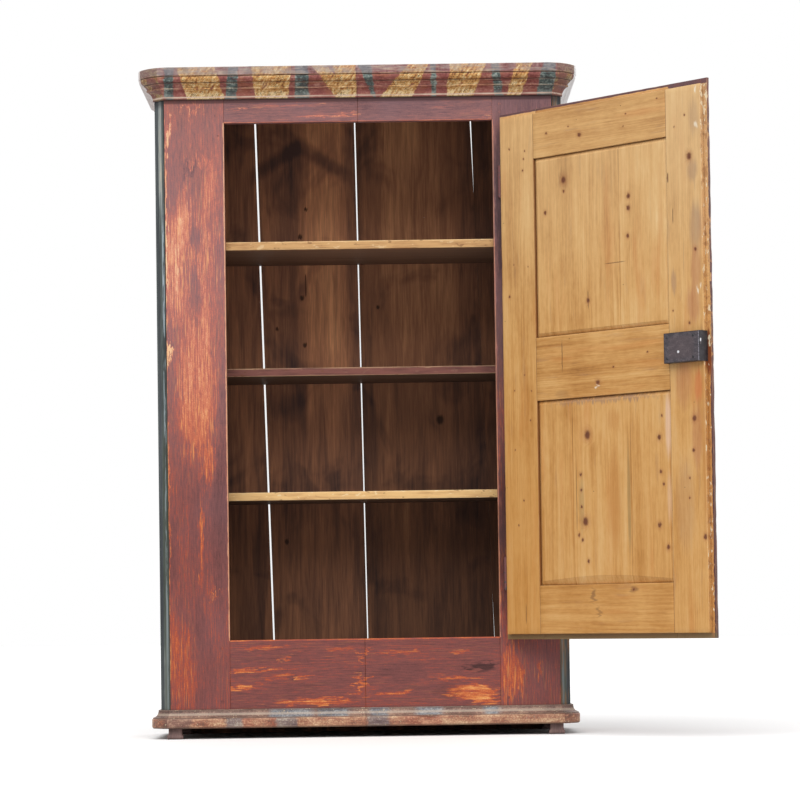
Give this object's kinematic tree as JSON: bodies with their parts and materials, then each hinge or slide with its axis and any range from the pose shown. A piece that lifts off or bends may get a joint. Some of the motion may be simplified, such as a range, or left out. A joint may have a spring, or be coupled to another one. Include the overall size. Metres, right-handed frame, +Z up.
{
  "type": "cabinet",
  "caption": "Painted pine cabinet with a cornice, canted corners, small feet, open shelves inside and a framed panel door that stands open.",
  "frame": {"origin": "on the floor under the middle of the case, halfway across its width and its depth", "axes": "+Z up, +X to the right seen from the front, +Y towards the back"},
  "size_m": [1.5539, 1.0464, 1.888],
  "materials": {
    "red_paint": "worn oxblood and grey-violet paint on pine",
    "green_paint": "dull grey-green paint on pine",
    "cornice_paint": "marbled bands of ochre, red-brown and grey-green paint",
    "base_paint": "worn, blotched rust, ochre and grey paint",
    "foot_paint": "dark worn paint",
    "side_paint": "old brown-grey paint on pine boards",
    "dark_pine": "dark, dry, unpainted boards",
    "plain_pine": "old bare pine",
    "shelf_pine": "pale worn pine front edge",
    "door_pine": "honey-coloured bare pine inside, worn red paint outside",
    "black_iron": "blackened wrought iron"
  },
  "bodies": {
    "case": {"back_board_1": "dark_pine", "back_board_2": "dark_pine", "back_board_3": "dark_pine", "back_board_4": "dark_pine", "base_moulding_corner_left": "base_paint", "base_moulding_corner_right": "base_paint", "base_moulding_front_left": "base_paint", "base_moulding_front_right": "base_paint", "base_moulding_side_left": "base_paint", "base_moulding_side_right": "base_paint", "bottom_board": "plain_pine", "bottom_rail_left": "red_paint", "bottom_rail_right": "red_paint", "case_nails": "black_iron", "corner_post_left": "green_paint", "corner_post_right": "green_paint", "cornice_corner_left": "cornice_paint", "cornice_corner_right": "cornice_paint", "cornice_front_left": "cornice_paint", "cornice_front_right": "cornice_paint", "cornice_side_left": "cornice_paint", "cornice_side_right": "cornice_paint", "foot_blocks": "plain_pine", "foot_front_left": "foot_paint", "foot_front_right": "foot_paint", "foot_rear_left": "foot_paint", "foot_rear_right": "foot_paint", "frame_pegs": "plain_pine", "front_stile_left": "red_paint", "front_stile_right": "red_paint", "hinge_frame_leaves": "black_iron", "hinge_pins": "black_iron", "lock_keeper": "black_iron", "shelf_bearers_left": "plain_pine", "shelf_bearers_right": "plain_pine", "shelf_lower": "shelf_pine", "shelf_middle": "shelf_pine", "shelf_top": "shelf_pine", "side_board_left": "side_paint", "side_board_right": "side_paint", "top_board": "plain_pine", "top_rail_left": "red_paint", "top_rail_right": "red_paint"},
    "door": {"door_bottom_rail": "door_pine", "door_hinge_stile": "door_pine", "door_lock_stile": "door_pine", "door_lower_panel": "door_pine", "door_lower_panel_moulding": "door_pine", "door_middle_rail": "door_pine", "door_nails": "black_iron", "door_top_rail": "door_pine", "door_upper_panel": "door_pine", "door_upper_panel_moulding": "door_pine", "escutcheon": "black_iron", "hinge_door_leaves": "black_iron", "lock_case": "black_iron", "lock_forend": "black_iron", "lock_key_post": "black_iron"},
    "bolt": {"lock_bolt": "black_iron"}
  },
  "joints": [
    {"name": "door_hinge", "type": "hinge", "parent": "case", "child": "door", "pos_m": [0.399, -0.228, 1.005], "axis": [0, 0, 1], "range_deg": [-132.5, 35]},
    {"name": "bolt_slide", "type": "slide", "parent": "door", "child": "bolt", "axis": [0.6756, -0.7373, 0], "range_m": [0, 0.014]}
  ]
}
